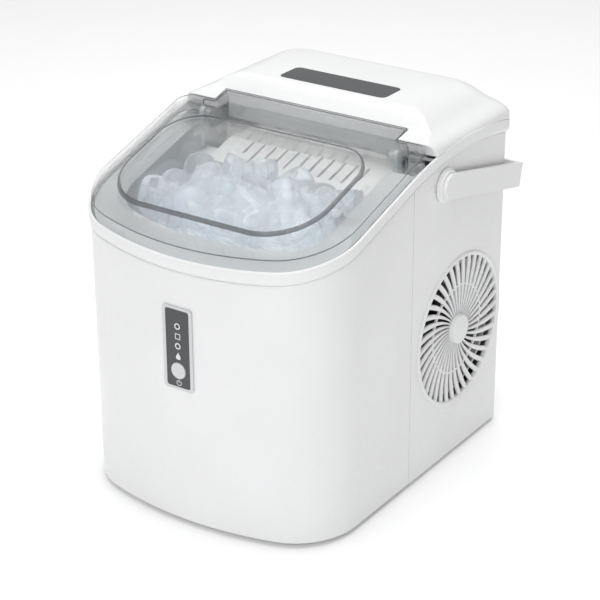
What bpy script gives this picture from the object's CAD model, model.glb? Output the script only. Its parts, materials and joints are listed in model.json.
import json
import math

import bmesh
import bpy
import numpy as np
from mathutils import Matrix, Vector


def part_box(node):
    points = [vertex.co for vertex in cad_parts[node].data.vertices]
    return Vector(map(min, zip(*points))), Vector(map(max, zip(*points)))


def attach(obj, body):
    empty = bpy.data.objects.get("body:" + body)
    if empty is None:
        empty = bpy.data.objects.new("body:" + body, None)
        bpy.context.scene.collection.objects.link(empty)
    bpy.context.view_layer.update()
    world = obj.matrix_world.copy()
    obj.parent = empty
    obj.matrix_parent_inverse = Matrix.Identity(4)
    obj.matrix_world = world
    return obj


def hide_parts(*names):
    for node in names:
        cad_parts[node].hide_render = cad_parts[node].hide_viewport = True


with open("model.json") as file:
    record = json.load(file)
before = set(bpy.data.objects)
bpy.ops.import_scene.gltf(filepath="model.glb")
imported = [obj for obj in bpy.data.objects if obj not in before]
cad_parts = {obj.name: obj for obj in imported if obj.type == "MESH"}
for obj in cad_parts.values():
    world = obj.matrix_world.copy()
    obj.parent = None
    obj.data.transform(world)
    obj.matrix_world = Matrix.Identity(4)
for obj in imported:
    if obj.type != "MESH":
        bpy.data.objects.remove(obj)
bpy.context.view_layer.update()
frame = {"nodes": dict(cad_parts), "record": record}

MM = 0.001
HOME = np.array([0.0, -5.23392917, 4.0])

# Cabinet, in millimetres from its own centre, as the CAD source has them
HALF_W = 113.0
FRONT_Y = -139.4
REAR_Y = 139.4
BOW_R = 266.0
CORNER_R = 53.7
REAR_R = 8.0
CORNER_X = HALF_W - CORNER_R
BOW_Y = FRONT_Y + BOW_R
CORNER_Y = BOW_Y - math.sqrt((BOW_R - CORNER_R) ** 2 - CORNER_X**2)
SEAM_Y = -2.2
WALL = 2.4
SEAT_Z = 214.0
SLOPE = math.tan(math.radians(16.7))
ARCH_R = 294.0
ARCH_Y = 75.0
ARCH_Z = -28.63
ARCH_START = ARCH_Y - ARCH_R * math.sin(math.radians(16.7))
BAND_SHIFT = 1.0

HINGE_Y = 14.0
HINGE_Z = 261.0
FLAP_X = 83.0
FLAP_Y = 36.0
EAR_Y = 21.0
FLAP_SWEEP = 26.6
EAR_SWEEP = 12.4
LID_RISE = 8.8
LID_T = 2.2
WINDOW_H = 10.0
WINDOW_UNDER = LID_RISE + WINDOW_H - LID_T
WINDOW_X = 89.7
WINDOW_Y = (-120.2, -11.4)
LID_CENTRE = np.array([0.0, -50.0])

FAN_Y = 70.0
FAN_Z = 105.0
GRILLE_R = 63.0
GRILLE_HUB_R = 10.0
HANDLE_Y = 42.0
HANDLE_Z = 234.5

# Marks on the panel: its face, the back of each mark, and the heights
MARK_FRONT = -140.02
MARK_BACK = -139.85
LAMP_HEIGHTS = (145, 160.7)
CUBE_Z = 152.6
DROP_Z = 136.9
POWER_Z = 115.2

# The basket's inner wall, and the ice in it
BASKET_SIDE = 84.2
BASKET_BOW_Y = 130.1
BASKET_BOW_R = 237.2
BASKET_CORNER_X = 59.3
BASKET_CORNER_Y = -73.75
BASKET_CORNER_R = 24.9
BASKET_FLOOR = 109.8
ICE_REAR = -20.0
ICE_TOP = 228
ICE_COUNT = 112
ICE_GAP = 0.4

TURN = 2 * math.pi


# ---- meshes ----


def grid_faces(rows, cols, wrap_rows=False, wrap_cols=False):
    """Quads of a rows by cols grid of points, counted by index arithmetic."""
    i = np.arange(rows if wrap_rows else rows - 1)
    j = np.arange(cols if wrap_cols else cols - 1)
    i, j = np.meshgrid(i, j, indexing="ij")
    i2 = (i + 1) % rows
    j2 = (j + 1) % cols
    return np.stack([i * cols + j, i * cols + j2, i2 * cols + j2, i2 * cols + j], -1).reshape(-1, 4)


def add_piece(name, points, groups, finishes, body, stands_for=(), sharp=38):
    """A mesh from points in cabinet millimetres and groups of (faces, finish index), normals outward."""
    mesh = bpy.data.meshes.new(name)
    faces = [face for group, _ in groups for face in np.asarray(group).tolist()]
    index = np.concatenate([np.full(len(group), k) for group, k in groups])
    mesh.from_pydata(((np.asarray(points, float) + HOME) * MM).tolist(), [], faces)
    for material in finishes:
        mesh.materials.append(material)
    mesh.polygons.foreach_set("material_index", index.astype(np.int32))
    work = bmesh.new()
    work.from_mesh(mesh)
    bmesh.ops.remove_doubles(work, verts=work.verts, dist=2e-6)
    bmesh.ops.dissolve_degenerate(work, edges=work.edges, dist=1e-6)
    bmesh.ops.recalc_face_normals(work, faces=work.faces)
    work.to_mesh(mesh)
    work.free()
    mesh.shade_smooth()
    mesh.set_sharp_from_angle(angle=math.radians(sharp))
    piece = bpy.data.objects.new(name, mesh)
    bpy.context.scene.collection.objects.link(piece)
    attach(piece, body)
    if stands_for:
        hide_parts(*stands_for)
    return piece


def join(parts):
    """Several (points, groups) as one, with the face indices moved along."""
    points, groups, start = [], [], 0
    for part_points, part_groups in parts:
        points.append(np.asarray(part_points, float).reshape(-1, 3))
        groups += [(np.asarray(faces) + start, k) for faces, k in part_groups]
        start += len(points[-1])
    return np.concatenate(points), groups


def lathe(profile, segments):
    """A surface of revolution about X: profile rows are (x, radius), and radius 0 closes an end."""
    profile = np.asarray(profile, float)
    turn = np.linspace(0, TURN, segments, endpoint=False)
    x = np.repeat(profile[:, :1], segments, 1)
    y = profile[:, 1:2] * np.cos(turn)
    z = profile[:, 1:2] * np.sin(turn)
    points = np.stack([x, y, z], -1).reshape(-1, 3)
    return points, [(grid_faces(len(profile), segments, wrap_cols=True), 0)]


def plate(loop, y0, y1):
    """A flat (x, z) loop pushed through from y0 to y1, capped at both ends."""
    loop = np.asarray(loop, float)
    n = len(loop)
    rings = [np.stack([loop[:, 0], np.full(n, y), loop[:, 1]], -1) for y in (y0, y1)]
    walls = grid_faces(2, n, wrap_cols=True)
    caps = np.stack([np.arange(n)[::-1], np.arange(n) + n])
    return np.concatenate(rings), [(walls, 0), (caps, 0)]


def band_shape(outer, inner, y0, y1):
    """The flat shape between two (x, z) loops of equal count, pushed through from y0 to y1."""
    rows = [(outer, y0), (outer, y1), (inner, y1), (inner, y0)]
    rings = [np.stack([loop[:, 0], np.full(len(loop), y), loop[:, 1]], -1) for loop, y in rows]
    faces = grid_faces(4, len(outer), wrap_rows=True, wrap_cols=True)
    return np.concatenate(rings), [(faces, 0)]


# ---- cabinet outline ----


def arc(centre, radius, start, end, count):
    """Points on a circle from start to end, in degrees."""
    turn = np.radians(np.linspace(start, end, count))
    return np.stack([centre[0] + radius * np.cos(turn), centre[1] + radius * np.sin(turn)], -1)


def line(a, b, count):
    """Evenly spaced points from a to b."""
    share = np.linspace(0, 1, count)[:, None]
    return np.asarray(a, float) * (1 - share) + np.asarray(b, float) * share


def half_outline(d, part="all"):
    """The outline's right half moved in by d, from the front's middle round to the rear's middle."""
    lean = math.degrees(math.atan2(CORNER_Y - BOW_Y, CORNER_X))
    bow = arc((0, BOW_Y), BOW_R - d, -90, lean, 26)
    corner = arc((CORNER_X, CORNER_Y), CORNER_R - d, lean, 0, 32)
    side_x = HALF_W - d
    if part == "front":
        return np.concatenate([bow, corner[1:], line((side_x, CORNER_Y), (side_x, SEAM_Y), 26)[1:]])
    rear_r = max(REAR_R - d, 0.5)
    centre = (side_x - rear_r, REAR_Y - d - rear_r)
    side = line((side_x, CORNER_Y), (side_x, centre[1]), 72)
    rear_corner = arc(centre, rear_r, 0, 90, 9)
    rear = line((centre[0], REAR_Y - d), (0, REAR_Y - d), 20)
    return np.concatenate([bow, corner[1:], side[1:], rear_corner[1:], rear[1:]])


def whole_outline(d, part="all"):
    """Both halves: an open path from left to right for the front, a closed loop otherwise."""
    half = half_outline(d, part)
    mirrored = half[::-1] * [-1, 1]
    if part == "front":
        return np.concatenate([mirrored, half[1:]])
    return np.concatenate([half, mirrored[1:-1]])


def seat_at(y):
    """Height of the seat line at depth y: a straight slope, then an arc."""
    slope = SEAT_Z + (y - FRONT_Y) * SLOPE
    arch = ARCH_Z + np.sqrt(np.maximum(ARCH_R**2 - (y - ARCH_Y) ** 2, 0))
    return np.where(y < ARCH_START, slope, arch)


def wall_sweep(profile, part, shift=0.0):
    """A profile of (inset, follows the seat 0 or 1, height) carried along the outline."""
    rings = []
    for inset, follows, height in profile:
        loop = whole_outline(inset, part) + [0, shift]
        z = follows * seat_at(loop[:, 1]) + height
        rings.append(np.column_stack([loop, z]))
    points = np.stack(rings, 1)
    n, k = points.shape[:2]
    groups = [(grid_faces(n, k, wrap_rows=part != "front", wrap_cols=True), 0)]
    if part == "front":
        groups.append((np.stack([np.arange(k), np.arange(k)[::-1] + (n - 1) * k]), 0))
    return points.reshape(-1, 3), groups


# ---- finishes ----


def grain_group():
    """A shared group that gives a slow mask, a fine mask and a normal from the fine mask."""
    group = bpy.data.node_groups.new("surface_grain", "ShaderNodeTree")
    group.interface.new_socket("Scale", in_out="INPUT", socket_type="NodeSocketFloat").default_value = 400
    group.interface.new_socket("Depth", in_out="INPUT", socket_type="NodeSocketFloat").default_value = 0.1
    outputs = {"Slow": "NodeSocketFloat", "Fine": "NodeSocketFloat", "Normal": "NodeSocketVector"}
    for name, kind in outputs.items():
        group.interface.new_socket(name, in_out="OUTPUT", socket_type=kind)
    nodes, links = group.nodes, group.links
    given = nodes.new("NodeGroupInput")
    out = nodes.new("NodeGroupOutput")
    place = nodes.new("ShaderNodeTexCoord")
    slow = nodes.new("ShaderNodeTexNoise")
    slow.inputs["Scale"].default_value = 14
    slow.inputs["Detail"].default_value = 3
    fine = nodes.new("ShaderNodeTexNoise")
    fine.inputs["Detail"].default_value = 4
    bump = nodes.new("ShaderNodeBump")
    bump.inputs["Distance"].default_value = 0.0002
    links.new(place.outputs["Object"], slow.inputs["Vector"])
    links.new(place.outputs["Object"], fine.inputs["Vector"])
    links.new(given.outputs["Scale"], fine.inputs["Scale"])
    links.new(given.outputs["Depth"], bump.inputs["Strength"])
    links.new(fine.outputs["Fac"], bump.inputs["Height"])
    links.new(slow.outputs["Fac"], out.inputs["Slow"])
    links.new(fine.outputs["Fac"], out.inputs["Fine"])
    links.new(bump.outputs["Normal"], out.inputs["Normal"])
    return group


GRAIN = grain_group()


def ranged(nodes, links, source, low, high):
    """A mask stretched to run from low to high over its usual spread."""
    node = nodes.new("ShaderNodeMapRange")
    node.inputs["From Min"].default_value = 0.3
    node.inputs["From Max"].default_value = 0.7
    node.inputs["To Min"].default_value = low
    node.inputs["To Max"].default_value = high
    links.new(source, node.inputs["Value"])
    return node.outputs["Result"]


def finish(name, colour, rough, metal=0.0, scale=900, depth=0.08, spread=0.02, clear=0.0, ior=1.46,
           coat=0.0, cover=1.0, glow=0.0):
    """A procedural finish: the slow mask varies its colour, the fine one its roughness and normal."""
    material = bpy.data.materials.new(name)
    material.use_nodes = True
    nodes, links = material.node_tree.nodes, material.node_tree.links
    shader = nodes["Principled BSDF"]
    shader.inputs["Metallic"].default_value = metal
    shader.inputs["IOR"].default_value = ior
    shader.inputs["Transmission Weight"].default_value = clear
    shader.inputs["Coat Weight"].default_value = coat
    shader.inputs["Alpha"].default_value = cover
    shader.inputs["Emission Color"].default_value = (1, 1, 1, 1)
    shader.inputs["Emission Strength"].default_value = glow
    grain = nodes.new("ShaderNodeGroup")
    grain.node_tree = GRAIN
    grain.inputs["Scale"].default_value = scale
    grain.inputs["Depth"].default_value = depth
    mix = nodes.new("ShaderNodeMix")
    mix.data_type = "RGBA"
    dark = [c * (1 - spread) for c in colour]
    light = [min(c * (1 + spread), 1) for c in colour]
    mix.inputs["A"].default_value = (*dark, 1)
    mix.inputs["B"].default_value = (*light, 1)
    links.new(ranged(nodes, links, grain.outputs["Slow"], 0, 1), mix.inputs["Factor"])
    links.new(mix.outputs["Result"], shader.inputs["Base Color"])
    uneven = ranged(nodes, links, grain.outputs["Fine"], rough * 0.88, rough * 1.12)
    links.new(uneven, shader.inputs["Roughness"])
    links.new(grain.outputs["Normal"], shader.inputs["Normal"])
    return material


WHITE = (0.8, 0.803, 0.807)
FINISHES = {
    "white_shell": finish("gloss_white", WHITE, 0.3, coat=0.15),
    "white_part": finish("satin_white", WHITE, 0.36),
    "liner_grey": finish("liner_grey", (0.47, 0.49, 0.5), 0.42),
    "chute_grey": finish("chute_grey", (0.75, 0.755, 0.75), 0.45),
    "dark_plastic": finish("dark_plastic", (0.04, 0.042, 0.045), 0.5),
    "inlay_dark": finish("inlay_dark", (0.085, 0.088, 0.09), 0.5, depth=0.15),
    "panel_dark": finish("panel_dark", (0.065, 0.068, 0.07), 0.34),
    "bezel_silver": finish("bezel_silver", (0.6, 0.61, 0.62), 0.32, metal=0.4),
    "button_silver": finish("button_silver", (0.62, 0.62, 0.63), 0.33, metal=0.35),
    "lens": finish("lens", (0.05, 0.052, 0.055), 0.18),
    "clear_lid": finish("clear_lid", (0.97, 0.98, 0.98), 0.03, clear=1.0, ior=1.22, depth=0.0, spread=0.005,
                        cover=0.24),
    "rubber": finish("rubber", (0.035, 0.035, 0.036), 0.75, depth=0.2),
    "steel": finish("steel", (0.62, 0.63, 0.65), 0.28, metal=1.0, scale=1600),
    "evaporator": finish("evaporator", (0.66, 0.66, 0.67), 0.3, metal=1.0),
    "copper": finish("copper", (0.72, 0.38, 0.24), 0.32, metal=1.0, spread=0.08),
    "fin_aluminium": finish("fin_aluminium", (0.74, 0.75, 0.76), 0.38, metal=1.0),
    "black_paint": finish("black_paint", (0.02, 0.02, 0.022), 0.4, depth=0.12),
    "pan_steel": finish("pan_steel", (0.3, 0.31, 0.32), 0.46, metal=0.7, spread=0.05),
    "foam": finish("foam", (0.74, 0.7, 0.6), 0.9, scale=300, depth=0.5, spread=0.06),
    "clear_tube": finish("clear_tube", (0.82, 0.85, 0.86), 0.15, clear=0.7),
    "circuit": finish("circuit", (0.03, 0.16, 0.07), 0.45, spread=0.15),
}
LID_EDGE = finish("lid_edge", (0.13, 0.133, 0.137), 0.1, clear=0.4, ior=1.3, depth=0.0, cover=0.9)
PRINT = finish("panel_print", (0.72, 0.73, 0.74), 0.5)
ICE = finish("ice", (0.9, 0.945, 1.0), 0.05, clear=0.82, ior=1.31, scale=160, depth=0.5, spread=0.03,
             glow=0.06)
FLOOR = finish("floor_pale", (0.93, 0.93, 0.935), 0.7, depth=0.02, spread=0.003, glow=0.14)


def dress_cad():
    """Gives every CAD node the finish of its own material slot."""
    for part in frame["record"]["subparts"]:
        node = frame["nodes"][part["node"]]
        for k in range(len(node.data.materials)):
            node.data.materials[k] = FINISHES[part["material_slot"]]


# ---- cabinet pieces ----


def front_shell():
    """The bowed front wall: a rounded wall section carried round the front."""
    profile = [
        (0.0, 0, 2.2), (0.0, 1, -12.6), (0.05, 1, -11.5), (0.35, 1, -11.05), (0.9, 1, -11.0),
        (1.6, 1, -11.0), (WALL, 1, -11.3), (WALL, 1, -12.6), (WALL, 0, 2.2), (WALL, 0, 0.6),
        (1.9, 0, 0.05), (0.8, 0, 0.0), (0.3, 0, 0.2), (0.05, 0, 0.8),
    ]
    points, groups = wall_sweep(profile, "front")
    gloss = [FINISHES["white_shell"]]
    add_piece("front_wall", points, groups, gloss, "housing", ["front_shell"])


def top_band():
    """The band round the top: a soft flare out from the wall, a rounded rim and a ledge inside it."""
    section = [
        (4.7, -11.0), (2.7, -11.0), (2.2, -10.9), (1.8, -10.4), (1.3, -9.6), (0.7, -8.8), (0.3, -8.2),
        (0.06, -7.5), (0.0, -6.7), (0.0, -1.5), (0.12, -0.7), (0.45, -0.2), (0.95, 0.0), (1.4, 0.0),
        (1.8, -0.15), (2.0, -0.5), (2.0, -5.2), (5.6, -5.2), (5.6, -10.9),
    ]
    profile = [(inset - 2.3, 1, height) for inset, height in section]
    points, groups = wall_sweep(profile, "all", BAND_SHIFT)
    gloss = [FINISHES["white_shell"]]
    add_piece("top_band", points, groups, gloss, "housing", ["top_frame"])


def cover_half(z, half_w, rear_y, radius, loft_front):
    """Right half of the cover's outline at one height, its front set by the lid's sweep."""
    lift = z - HINGE_Z
    flap_y = HINGE_Y + math.sqrt(max(FLAP_SWEEP**2 - lift**2, 0))
    ear_y = max(HINGE_Y + math.sqrt(max(EAR_SWEEP**2 - lift**2, 0)), EAR_Y + 0.5)
    middle = max(flap_y, loft_front)
    outer = max(ear_y, loft_front)
    edge = half_w - 3
    front = line((0, middle), (83.2, middle), 28)
    step = line((83.5, middle), (83.5, outer), 5)
    shoulder = line((83.8, outer), (max(edge, 84.2), outer), 8)
    if edge < 84.5:
        front = line((0, middle), (edge - 12, middle), 28)
        step = line((edge - 11.8, middle), (edge - 11, middle), 5)
        shoulder = line((edge - 10.8, middle), (edge - 3, middle), 8)
    corner = arc((half_w - 3, outer + 3), 3, -90, 0, 7)
    side = line((half_w, outer + 3), (half_w, rear_y - radius), 40)
    rear_corner = arc((half_w - radius, rear_y - radius), radius, 0, 90, 14)
    rear = line((half_w - radius, rear_y), (0, rear_y), 24)
    return np.concatenate([front, step, shoulder, corner[1:], side[1:], rear_corner[1:], rear[1:]])


# Height, half width, rear, rear corner's radius, and how far back the front has come
COVER_LEVELS = [
    (262.0, 115.0, 142.3, 10, 0), (265.0, 114.6, 142.1, 10, 0), (267.5, 113.2, 141.5, 11, 0),
    (269.3, 111.0, 140.9, 12, 0), (270.6, 108.6, 140.3, 13, 14), (272.0, 104.6, 139.6, 13, 30),
    (273.4, 101.4, 139.2, 14, 37.6), (275.0, 98.6, 138.6, 16, 39.5), (277.0, 95.8, 137.8, 17, 41.9),
    (279.0, 92.9, 136.9, 18, 44.2), (281.0, 89.6, 135.6, 18, 46.6), (282.6, 86.2, 133.9, 17, 48.8),
    (283.8, 83.2, 131.9, 16, 50.6), (284.6, 80.8, 129.8, 15, 52.4), (285.0, 78.0, 127.0, 14, 54.6),
]


def top_cover():
    """The raised cover: outlines stacked from the seat up to the plateau, hollow underneath."""
    rings = []
    for z, half_w, rear_y, radius, front in COVER_LEVELS:
        half = cover_half(z, half_w, rear_y, radius, front)
        loop = np.concatenate([half, (half[::-1] * [-1, 1])[1:-1]])
        rings.append(np.column_stack([loop, np.full(len(loop), z)]))
    foot = rings[0].copy()
    foot[:, 2] = np.minimum(seat_at(foot[:, 1]) + 0.25, 262.0)
    rings.insert(0, foot)
    n = len(foot)
    middle = (np.abs(foot[:, 0]) <= 83.3) & (foot[:, 1] < 45)
    for z in (256.0, 251.0):
        low = foot.copy()
        low[middle, 1] = HINGE_Y + math.sqrt(FLAP_SWEEP**2 - (z - HINGE_Z) ** 2)
        low[middle, 2] = z
        rings.insert(0, low)
    points = np.concatenate(rings)
    faces = grid_faces(len(rings), n, wrap_cols=True)
    top = (np.arange(n) + (len(rings) - 1) * n)[None, :]
    curtain = middle[faces[:, 0] % n] & (faces[:, 0] < 2 * n)
    groups = [(faces[~curtain], 0), (faces[curtain], 1), (top, 0)]
    piece = add_piece("cover_shell", points, groups, [FINISHES["white_shell"], FINISHES["liner_grey"]],
                      "housing", ["top_cover"], sharp=48)
    skin = piece.modifiers.new("thickness", "SOLIDIFY")
    skin.thickness = 0.0022
    skin.offset = -1


def cover_inlay():
    """The dark plate in the cover's plateau, with a fine raised edge."""
    low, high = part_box("cover_inlay")
    x = high.x / MM
    y0 = low.y / MM - HOME[1]
    y1 = high.y / MM - HOME[1]
    radius = 5.0
    corners = [((x, y0), -90), ((x, y1), 0), ((-x, y1), 90), ((-x, y0), 180)]

    def loop(inset):
        r = radius - inset
        arcs = [arc((math.copysign(abs(cx) - radius, cx), cy + (radius if cy == y0 else -radius)),
                    r, start, start + 90, 10) for (cx, cy), start in corners]
        return np.concatenate(arcs)

    levels = [(0, 283.9), (0, 285.0), (0.25, 285.25), (0.8, 285.3), (1.2, 285.12)]
    rings = [np.column_stack([loop(inset), np.full(40, z)]) for inset, z in levels]
    caps = np.stack([np.arange(40)[::-1], np.arange(40) + 40 * (len(rings) - 1)])
    groups = [(grid_faces(len(rings), 40, wrap_cols=True), 0), (caps, 0)]
    dark = [FINISHES["inlay_dark"]]
    add_piece("inlay_plate", np.concatenate(rings), groups, dark, "housing", ["cover_inlay"])


# ---- lid ----


def lid_plane(y, lift):
    """Height of the lid's sloping plane at depth y, lifted above the seat's front."""
    return SEAT_Z + lift + (y - FRONT_Y) * SLOPE


def dense(loop, step=1.6):
    """A closed loop with points added so that none are further apart than step."""
    ahead = np.roll(loop, -1, 0)
    count = np.maximum(np.ceil(np.linalg.norm(ahead - loop, axis=1) / step).astype(int), 1)
    return np.concatenate([line(a, b, c + 1)[:-1] for a, b, c in zip(loop, ahead, count)])


def lid_plan():
    """The lid from above: the cabinet's bow, two round ears behind and a flap between them."""
    half = half_outline(0.4, "front") + [0, 0.8]
    half = half[half[:, 1] < EAR_Y - 12]
    ear = arc((HALF_W - 0.4 - 12, EAR_Y - 12), 12, 0, 90, 14)
    tail = np.array([[FLAP_X + 0.02, EAR_Y], [FLAP_X, EAR_Y + 0.02], [FLAP_X, FLAP_Y]])
    right = np.concatenate([half, ear, tail])
    return dense(np.concatenate([right, (right[::-1] * [-1, 1])[:-1]]))


def window_plan(d):
    """The raised window from above, moved in by d."""
    x = WINDOW_X - d
    y0, y1 = WINDOW_Y[0] + d, WINDOW_Y[1] - d
    front_r, rear_r = 43 - d, 30 - d
    right = np.concatenate([
        np.array([[0, y0]]), arc((x - front_r, y0 + front_r), front_r, -90, 0, 26),
        arc((x - rear_r, y1 - rear_r), rear_r, 0, 90, 20), np.array([[0, y1]]),
    ])
    return dense(np.concatenate([right, (right[::-1] * [-1, 1])[1:-1]]), 0.3)


def by_angle(loop, angles):
    """The loop's points at the given angles round the lid's centre."""
    off = loop - LID_CENTRE
    turn = np.arctan2(off[:, 1], off[:, 0]) % TURN
    order = np.argsort(turn)
    reach = np.linalg.norm(off, axis=1)[order]
    reach = np.interp(angles, turn[order], reach, period=TURN)
    return LID_CENTRE + reach[:, None] * np.stack([np.cos(angles), np.sin(angles)], -1)


def moved_in(loop, d):
    """A loop moved in by d, square to itself."""
    along = np.roll(loop, -1, 0) - np.roll(loop, 1, 0)
    along /= np.maximum(np.linalg.norm(along, axis=1, keepdims=True), 1e-9)
    return loop + d * np.stack([-along[:, 1], along[:, 0]], -1)


def lug(side):
    """One hinge lug under the flap: a disc about the hinge axis."""
    points, groups = lathe([(81.5, 0), (81.5, 4), (84.5, 4), (84.5, 0)], 24)
    points = points * [side, 1, 1] + [0, HINGE_Y, HINGE_Z]
    return points, groups


def lid():
    """The clear lid: edge wall, sloping flange, raised window, and the same again inside."""
    plan = lid_plan()
    fine_plan = dense(plan, 0.3)
    off = plan - LID_CENTRE
    angles = np.sort(np.arctan2(off[:, 1], off[:, 0]) % TURN)
    outer = by_angle(fine_plan, angles)
    window = {d: by_angle(window_plan(d), angles) for d in (-1.2, -0.35, 0, 0.6, 2.4, LID_T)}
    flap = (np.abs(outer[:, 0]) <= 93) & (outer[:, 1] > 0)
    foot = np.where(flap, lid_plane(outer[:, 1], LID_RISE - LID_T - 0.02), seat_at(outer[:, 1]) - 2.3)
    inner = moved_in(outer, LID_T)
    top = LID_RISE + WINDOW_H
    rings = [
        np.column_stack([inner, foot]), np.column_stack([moved_in(outer, 0.3), foot]),
        np.column_stack([outer, foot + 0.3]),
    ]
    shaped = [
        (outer, LID_RISE - 1.1), (moved_in(outer, 0.3), LID_RISE - 0.3), (moved_in(outer, 1.1), LID_RISE),
        (window[-1.2], LID_RISE), (window[-0.35], LID_RISE + 0.35), (window[0], LID_RISE + 1.2),
        (window[0], top - 2.4), (window[0.6], top - 0.6), (window[2.4], top),
    ]
    rings += [np.column_stack([loop, lid_plane(loop[:, 1], lift)]) for loop, lift in shaped]
    inside = [
        (window[LID_T], top - LID_T), (window[LID_T], LID_RISE - LID_T), (inner, LID_RISE - LID_T),
    ]
    lower = [np.column_stack([loop, lid_plane(loop[:, 1], lift)]) for loop, lift in inside]
    lower.append(rings[0].copy())
    n = len(angles)
    shell = grid_faces(len(rings), n, wrap_cols=True).reshape(len(rings) - 1, n, 4)
    edges = np.concatenate([shell[k] for k in (0, 1, 3, 9, 10)])
    clear = np.concatenate([shell[k] for k in (2, 4, 5, 6, 7, 8)])
    caps = (np.arange(n) + (len(rings) - 1) * n)[None, :]
    under = grid_faces(len(lower), n, wrap_cols=True)
    under_cap = np.arange(n)[::-1][None, :]
    parts = [
        (np.concatenate(rings), [(clear, 0), (edges, 1), (caps, 0)]),
        (np.concatenate(lower), [(under, 0), (under_cap, 0)]),
        lug(1), lug(-1),
    ]
    points, groups = join(parts)
    finishes = [FINISHES["clear_lid"], LID_EDGE]
    add_piece("clear_lid", points, groups, finishes, "lid", ["lid"], sharp=30)


# ---- fan grille and handle ----


def swirl_bars(count=38, stations=26, turn_by=0.34):
    """Curved bars from hub to rim: the angle grows with the radius, and they sink into a shallow dish."""
    share = np.linspace(0, 1, stations)
    reach = GRILLE_HUB_R + share * (GRILLE_R - 2.6 - GRILLE_HUB_R)
    start = np.linspace(0, TURN, count, endpoint=False)[:, None]
    angle = start + turn_by * share**0.8
    slope = np.gradient(angle, share, axis=1) / np.gradient(reach, share)[None, :]
    lean = np.arctan(slope * reach)
    across_angle = angle + lean + math.pi / 2
    section = np.array([
        [-0.85, -2.4], [-1, -1.2], [-0.75, -0.3], [0, 0], [0.75, -0.3], [1, -1.2], [0.85, -2.4],
    ])
    depth = 113.3 - 2.2 * (1 - (reach / GRILLE_R) ** 2)
    width = np.minimum(2.1, 0.28 * TURN * reach / count)[:, None] * section[:, 0]
    y = (reach * np.cos(angle))[..., None] + np.cos(across_angle)[..., None] * width
    z = (reach * np.sin(angle))[..., None] + np.sin(across_angle)[..., None] * width
    x = np.broadcast_to(depth[None, :, None] + section[:, 1], y.shape)
    points = np.stack([x, y + FAN_Y, z + FAN_Z], -1).reshape(-1, 3)
    one = grid_faces(stations, len(section), wrap_cols=True)
    moves = np.arange(count)[:, None, None] * stations * len(section)
    return points, [((one[None] + moves).reshape(-1, 4), 0)]


def fan_ring(profile):
    """A ring about the fan's axis from a closed (x, radius) profile."""
    points, groups = lathe(list(profile) + [profile[0]], 120)
    return points + [0, FAN_Y, FAN_Z], groups


def fan_grille():
    """The round side grille: rim, swirled bars, a middle ring and a proud hub."""
    r = GRILLE_R
    rim = [(109.8, r - 0.1), (113.6, r - 0.1), (114.2, r - 0.6), (114.4, r - 1.5), (114.2, r - 2.7),
           (113.4, r - 3.6), (109.8, r - 3.6)]
    middle = [(109.2, 35.4), (111.0, 35.4), (111.2, 35.8), (111.2, 36.6), (111.0, 36.9), (109.2, 36.9)]
    hub = [(109.4, 0), (109.4, 11.6), (114.3, 11.6), (115.0, 11.3), (115.3, 10.5), (115.4, 6), (115.4, 0)]
    hub_points, hub_groups = lathe(hub, 64)
    parts = [swirl_bars(), fan_ring(rim), fan_ring(middle), (hub_points + [0, FAN_Y, FAN_Z], hub_groups)]
    points, groups = join(parts)
    satin = [FINISHES["white_part"]]
    add_piece("side_grille", points, groups, satin, "housing", ["fan_grille"])


def hub_rings():
    """Stepped rings round each handle hub, between the wall and the arm."""
    steps = [
        (113.3, 11.4), (113.3, 13.3), (113.5, 13.6), (114.1, 13.6), (114.35, 13.3), (114.4, 12.7),
        (115.1, 12.6), (115.35, 12.3), (115.4, 11.4), (113.3, 11.4),
    ]
    pieces = []
    for side in (-1, 1):
        points, groups = lathe(steps, 72)
        pieces.append((points * [side, 1, 1] + [0, HANDLE_Y, HANDLE_Z], groups))
    points, groups = join(pieces)
    add_piece("hub_rings", points, groups, [FINISHES["white_part"]], "handle", ())


def soften(node, width):
    """Small rounded edges on a CAD node, by a modifier."""
    body = frame["nodes"][node]
    weld = body.modifiers.new("weld", "WELD")
    weld.merge_threshold = 1e-6
    bevel = body.modifiers.new("edges", "BEVEL")
    bevel.width = width * MM
    bevel.segments = 3
    bevel.limit_method = "ANGLE"
    bevel.angle_limit = math.radians(50)
    bevel.harden_normals = True


# ---- panel marks and ice ----


def scaled(loop, size, z):
    """A unit (x, z) loop at a size and height on the panel."""
    return np.asarray(loop, float) * size + [0, z]


def pictograms():
    """Plain marks on the panel: an ice cube, a drop, and the usual on-off sign."""
    y0 = MARK_BACK
    y1 = MARK_FRONT
    square = dense(np.array([[-1, -1], [1, -1], [1, 1], [-1, 1]], float), 0.25)
    cube = band_shape(scaled(square, 2.3, CUBE_Z), scaled(square, 1.7, CUBE_Z), y0, y1)
    turn = np.linspace(0, TURN, 48, endpoint=False)
    drop = np.stack([np.sin(turn) * np.sin(turn / 2) ** 1.5, np.cos(turn)], -1)
    mark = plate(scaled(drop, 2.9, DROP_Z), y0, y1)
    sweep = np.radians(np.linspace(125, 415, 40))
    rim = np.stack([np.cos(sweep), np.sin(sweep)], -1)
    ring = plate(scaled(np.concatenate([rim, rim[::-1] * 0.76]), 2.3, POWER_Z), y0, y1)
    bar = plate([(-0.28, 115.4), (0.28, 115.4), (0.28, 118.0), (-0.28, 118.0)], y0, y1)
    circle = np.stack([np.cos(turn), np.sin(turn)], -1)
    lamps = [
        band_shape(scaled(circle, 2.5, z), scaled(circle, 1.55, z), y0 - 0.1, y1 - 0.2) for z in LAMP_HEIGHTS
    ]
    points, groups = join([cube, mark, ring, bar, *lamps])
    add_piece("panel_marks", points, groups, [PRINT], "housing")


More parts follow.
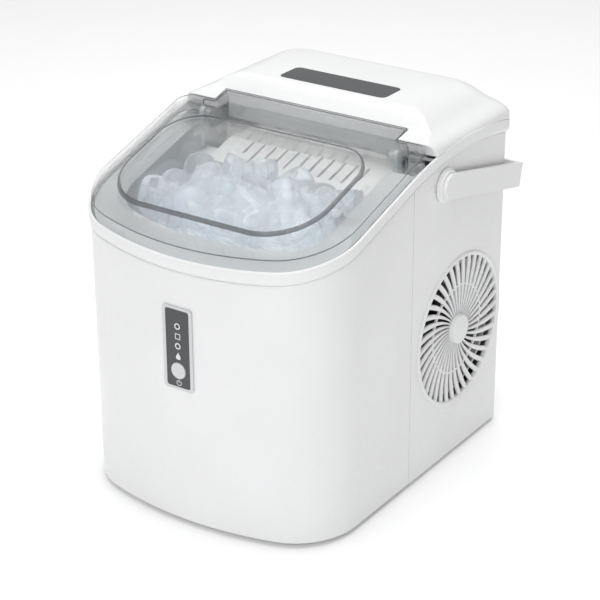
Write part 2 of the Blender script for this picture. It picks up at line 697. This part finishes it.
def ice_template(segments=26):
    """One bullet of ice about X: a domed end, straight sides and a hollow in the flat end."""
    profile = np.array([
        (0.0, 0.0), (0.4, 3.4), (1.7, 6.2), (4.0, 8.4), (7.0, 9.7), (11.0, 10.2),
        (20.0, 10.5), (23.6, 10.5), (24.8, 10.1), (25.3, 9.2), (25.3, 6.4), (24.6, 5.2),
        (20.0, 4.3), (13.0, 3.4), (9.0, 2.0), (8.0, 0.0),
    ])
    points, groups = lathe(profile, segments)
    return points - [12.6, 0, 0], groups[0][0]


def settled(at, shapes, radius=13.4, rounds=300):
    """Centres of the ice: pushed apart, each kept in the basket and under the window by its own reach."""
    wide = np.linalg.norm(shapes[:, :, :2], axis=2).max(1) + ICE_GAP
    below = ICE_GAP - shapes[:, :, 2].min(1)
    above = (shapes[:, :, 2] - SLOPE * shapes[:, :, 1]).max(1) + ICE_GAP
    for _ in range(rounds):
        gap = at[:, None] - at[None, :]
        far = np.linalg.norm(gap, axis=2) + np.eye(len(at)) * 1e3
        push = np.maximum(2 * radius - far, 0)[..., None] * gap / far[..., None]
        at += 0.32 * push.sum(1)
        at[:, 2] += 0.05
        at[:, 0] = np.clip(at[:, 0], wide - BASKET_SIDE, BASKET_SIDE - wide)
        bow = BASKET_BOW_Y - np.sqrt((BASKET_BOW_R - wide) ** 2 - at[:, 0] ** 2)
        at[:, 1] = np.clip(at[:, 1], bow, ICE_REAR)
        corner = np.abs(at[:, 0]) - BASKET_CORNER_X
        front = BASKET_CORNER_Y - at[:, 1]
        out = np.hypot(np.maximum(corner, 0), np.maximum(front, 0))
        past = np.maximum(out - (BASKET_CORNER_R - wide), 0) / np.maximum(out, 1e-6)
        excess = np.where((corner > 0) & (front > 0), past, 0)
        at[:, 0] -= np.sign(at[:, 0]) * np.maximum(corner, 0) * excess
        at[:, 1] += np.maximum(front, 0) * excess
        heap = np.minimum(lid_plane(at[:, 1], 2.0), ICE_TOP) + 3 * np.cos(at[:, 0] / 24)
        ceiling = np.minimum(heap, lid_plane(at[:, 1], WINDOW_UNDER) - above)
        at[:, 2] = np.clip(at[:, 2], BASKET_FLOOR + below, ceiling)
    return at


def random_turns(rng, count):
    """A random rotation for each piece, from random unit quaternions."""
    q = rng.normal(size=(count, 4))
    q /= np.linalg.norm(q, axis=1, keepdims=True)
    w, x, y, z = q.T
    rows = [
        [1 - 2 * (y * y + z * z), 2 * (x * y - z * w), 2 * (x * z + y * w)],
        [2 * (x * y + z * w), 1 - 2 * (x * x + z * z), 2 * (y * z - x * w)],
        [2 * (x * z - y * w), 2 * (y * z + x * w), 1 - 2 * (x * x + y * y)],
    ]
    return np.moveaxis(np.array(rows), 2, 0)


def ice_heap():
    """A heap of hollow ice in the basket, the same every time."""
    rng = np.random.default_rng(42)
    low = (-70, -90, 124)
    high = (70, -24, 226)
    starts = np.column_stack([rng.uniform(*ends, ICE_COUNT) for ends in zip(low, high)])
    shape, faces = ice_template()
    size = rng.uniform(1.1, 1.28, (ICE_COUNT, 1, 1))
    shapes = np.einsum("nij,kj->nki", random_turns(rng, ICE_COUNT), shape) * size
    points = shapes + settled(starts, shapes)[:, None]
    all_faces = (faces[None] + np.arange(ICE_COUNT)[:, None, None] * len(shape)).reshape(-1, 4)
    add_piece("ice_heap", points.reshape(-1, 3), [(all_faces, 0)], [ICE], "housing", sharp=60)


# ---- studio ----


def floor():
    """A wide pale floor just under the feet."""
    size = 6.0
    mesh = bpy.data.meshes.new("floor")
    corners = [(-size, -size, 0), (size, -size, 0), (size, size, 0), (-size, size, 0)]
    mesh.from_pydata(corners, [], [(0, 1, 2, 3)])
    mesh.materials.append(FLOOR)
    plane = bpy.data.objects.new("floor", mesh)
    bpy.context.scene.collection.objects.link(plane)


def softbox(name, place, aim, size, power):
    """A square area light at place, turned to aim."""
    data = bpy.data.lights.new(name, "AREA")
    data.size = size
    data.energy = power
    lamp = bpy.data.objects.new(name, data)
    lamp.location = place
    lamp.rotation_mode = "QUATERNION"
    lamp.rotation_quaternion = (Vector(aim) - Vector(place)).to_track_quat("-Z", "Y")
    bpy.context.scene.collection.objects.link(lamp)


def studio():
    """A pale room, a soft light above the front and a larger one overhead."""
    world = bpy.data.worlds.new("room")
    world.use_nodes = True
    back = world.node_tree.nodes["Background"]
    back.inputs["Color"].default_value = (1.0, 1.0, 1.0, 1)
    back.inputs["Strength"].default_value = 0.42
    bpy.context.scene.world = world
    middle = (0, 0, 0.14)
    softbox("key", (0.55, -1.9, 1.3), middle, 1.2, 17)
    softbox("top", (-0.1, 0.2, 2.0), middle, 1.6, 27)
    bpy.context.scene.view_settings.view_transform = "Standard"


def camera():
    """The camera, from its solved azimuth, elevation, roll, place, lens and shift."""
    azimuth = math.radians(34.437)
    elevation = math.radians(24.783)
    roll = math.radians(-0.284)
    back = Vector((math.sin(azimuth) * math.cos(elevation), -math.cos(azimuth) * math.cos(elevation),
                   math.sin(elevation)))
    right = Vector((math.cos(azimuth), math.sin(azimuth), 0))
    up = back.cross(right)
    level_right = math.cos(roll) * right + math.sin(roll) * up
    level_up = -math.sin(roll) * right + math.cos(roll) * up
    data = bpy.data.cameras.new("camera")
    data.lens = 116.0
    data.sensor_width = 36.0
    data.shift_x = 0.0031
    data.shift_y = -0.0067
    data.dof.use_dof = False
    place = (0.777306, -1.125550, 0.764564)
    eye = bpy.data.objects.new("camera", data)
    turn = Matrix((level_right, level_up, back)).transposed().to_4x4()
    eye.matrix_world = Matrix.Translation(place) @ turn
    bpy.context.scene.collection.objects.link(eye)
    bpy.context.scene.camera = eye


dress_cad()
front_shell()
top_band()
top_cover()
cover_inlay()
lid()
fan_grille()
hub_rings()
soften("handle", 0.7)
soften("control_bezel", 0.3)
soften("power_button", 0.4)
pictograms()
ice_heap()
floor()
studio()
camera()
